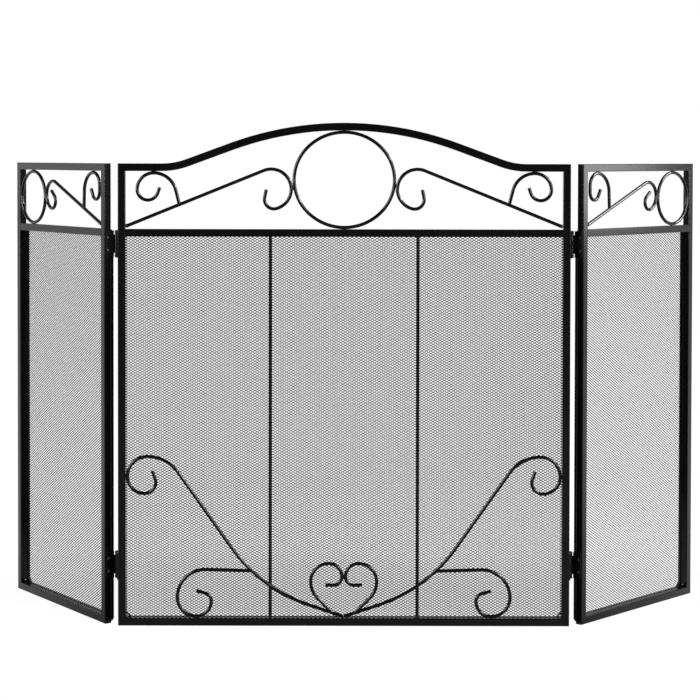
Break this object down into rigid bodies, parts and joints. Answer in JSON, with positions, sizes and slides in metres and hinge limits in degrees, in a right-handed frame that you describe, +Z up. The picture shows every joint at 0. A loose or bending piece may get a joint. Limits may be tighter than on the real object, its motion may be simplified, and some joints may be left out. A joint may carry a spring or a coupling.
{
  "type": "fireplace screen",
  "caption": "Free-standing folding fireplace screen: arched centre panel with hinged side wings, black steel tube frames, bent-wire scrollwork and expanded-metal mesh.",
  "frame": {"origin": "middle of the centre panel's bottom rail at floor level, in the mid-plane of its tubes", "axes": "+X to the right as seen from the front, +Y to the back, where the wings fold, and +Z up"},
  "size_m": [1.1413, 0.2705, 0.79],
  "materials": {
    "frame_black": "satin black powder coat",
    "wire_black": "satin black powder coat",
    "mesh_black": "matt black paint",
    "hinge_black": "satin black paint over steel",
    "fastener_steel": "dull zinc-plated steel"
  },
  "bodies": {
    "centre_panel": {"centre_bottom_rail": "frame_black", "centre_left_corner_scroll": "wire_black", "centre_left_diagonal_scroll": "wire_black", "centre_left_stile": "frame_black", "centre_mesh": "mesh_black", "centre_mesh_retainer": "frame_black", "centre_mid_rail": "frame_black", "centre_retainer_screws": "fastener_steel", "centre_right_corner_scroll": "wire_black", "centre_right_diagonal_scroll": "wire_black", "centre_right_stile": "frame_black", "centre_ring": "wire_black", "centre_top_arch": "frame_black", "heart_left_scroll": "wire_black", "heart_right_scroll": "wire_black", "left_frame_leaf_rivets": "fastener_steel", "left_lower_hinge_frame_leaf": "hinge_black", "left_lower_hinge_pin": "fastener_steel", "left_mesh_bar": "wire_black", "left_upper_hinge_frame_leaf": "hinge_black", "left_upper_hinge_pin": "fastener_steel", "lower_left_branch_scroll": "wire_black", "lower_left_main_scroll": "wire_black", "lower_right_branch_scroll": "wire_black", "lower_right_main_scroll": "wire_black", "right_frame_leaf_rivets": "fastener_steel", "right_lower_hinge_frame_leaf": "hinge_black", "right_lower_hinge_pin": "fastener_steel", "right_mesh_bar": "wire_black", "right_upper_hinge_frame_leaf": "hinge_black", "right_upper_hinge_pin": "fastener_steel"},
    "left_wing": {"left_bottom_rail": "frame_black", "left_corner_scroll": "wire_black", "left_diagonal_scroll": "wire_black", "left_hinge_stile": "frame_black", "left_lower_hinge_wing_leaf": "hinge_black", "left_mesh": "mesh_black", "left_mesh_retainer": "frame_black", "left_mid_rail": "frame_black", "left_outer_stile": "frame_black", "left_retainer_screws": "fastener_steel", "left_ring": "wire_black", "left_top_rail": "frame_black", "left_upper_hinge_wing_leaf": "hinge_black", "left_wing_leaf_rivets": "fastener_steel"},
    "right_wing": {"right_bottom_rail": "frame_black", "right_corner_scroll": "wire_black", "right_diagonal_scroll": "wire_black", "right_hinge_stile": "frame_black", "right_lower_hinge_wing_leaf": "hinge_black", "right_mesh": "mesh_black", "right_mesh_retainer": "frame_black", "right_mid_rail": "frame_black", "right_outer_stile": "frame_black", "right_retainer_screws": "fastener_steel", "right_ring": "wire_black", "right_top_rail": "frame_black", "right_upper_hinge_wing_leaf": "hinge_black", "right_wing_leaf_rivets": "fastener_steel"}
  },
  "joints": [
    {"name": "left_wing_hinge", "type": "hinge", "parent": "centre_panel", "child": "left_wing", "pos_m": [-0.3582, 0.0135, 0.346], "axis": [0, 0, 1], "range_deg": [-125.6, 54.4]},
    {"name": "right_wing_hinge", "type": "hinge", "parent": "centre_panel", "child": "right_wing", "pos_m": [0.3582, 0.0135, 0.346], "axis": [0, 0, 1], "range_deg": [-46.6, 133.4]}
  ]
}
